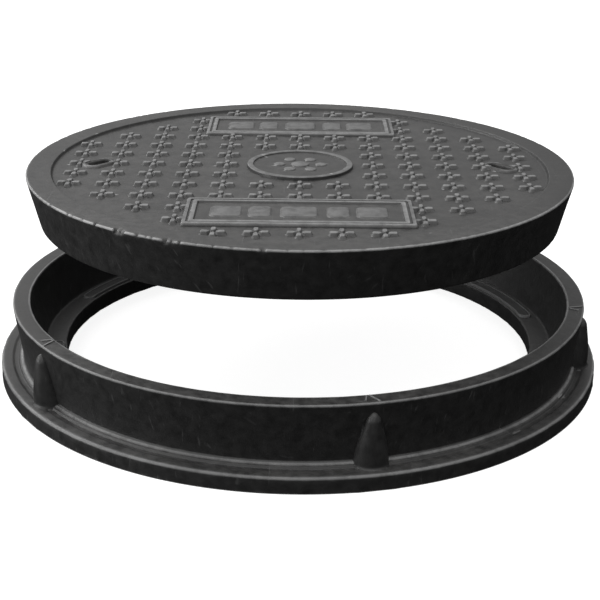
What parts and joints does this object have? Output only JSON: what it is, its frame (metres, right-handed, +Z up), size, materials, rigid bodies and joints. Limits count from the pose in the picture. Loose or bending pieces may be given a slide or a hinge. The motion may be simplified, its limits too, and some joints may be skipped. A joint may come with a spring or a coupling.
{
  "type": "manhole cover",
  "caption": "Round moulded manhole cover with a cross tread and key slots, lifting straight out of a flanged round frame with a padded seat.",
  "frame": {"origin": "centre of the frame's underside, on the surface it stands on", "axes": "+Z up, the way the cover lifts; +X through the middle of the key slots, towards the right one; -Y towards the front panel"},
  "size_m": [0.768, 0.768, 0.2583],
  "materials": {
    "cover_composite": "black fibre-reinforced resin moulding, semi-matte, lightly scuffed",
    "frame_composite": "black fibre-reinforced resin moulding, semi-matte, with moulding marks",
    "steel": "plain hot-rolled reinforcement",
    "sleeve_steel": "black coated steel",
    "rubber": "matte black rubber"
  },
  "bodies": {
    "frame": {"frame_body": "frame_composite", "rim_hoop": "steel", "flange_hoop": "steel", "seat_pad_1": "rubber", "seat_pad_2": "rubber", "seat_pad_3": "rubber", "seat_pad_4": "rubber", "seat_pad_5": "rubber", "seat_pad_6": "rubber"},
    "cover": {"cover_body": "cover_composite", "cage_hoop": "steel", "cage_bar_x_1": "steel", "cage_bar_x_2": "steel", "cage_bar_x_3": "steel", "cage_bar_x_4": "steel", "cage_bar_x_5": "steel", "cage_bar_x_6": "steel", "cage_bar_y_1": "steel", "cage_bar_y_2": "steel", "cage_bar_y_3": "steel", "cage_bar_y_4": "steel", "cage_bar_y_5": "steel", "cage_bar_y_6": "steel", "key_sleeve_left": "sleeve_steel", "key_sleeve_right": "sleeve_steel"}
  },
  "joints": [
    {"name": "cover_lift", "type": "slide", "parent": "frame", "child": "cover", "axis": [0, 0, 1], "range_m": [-0.163, 0.137]}
  ]
}
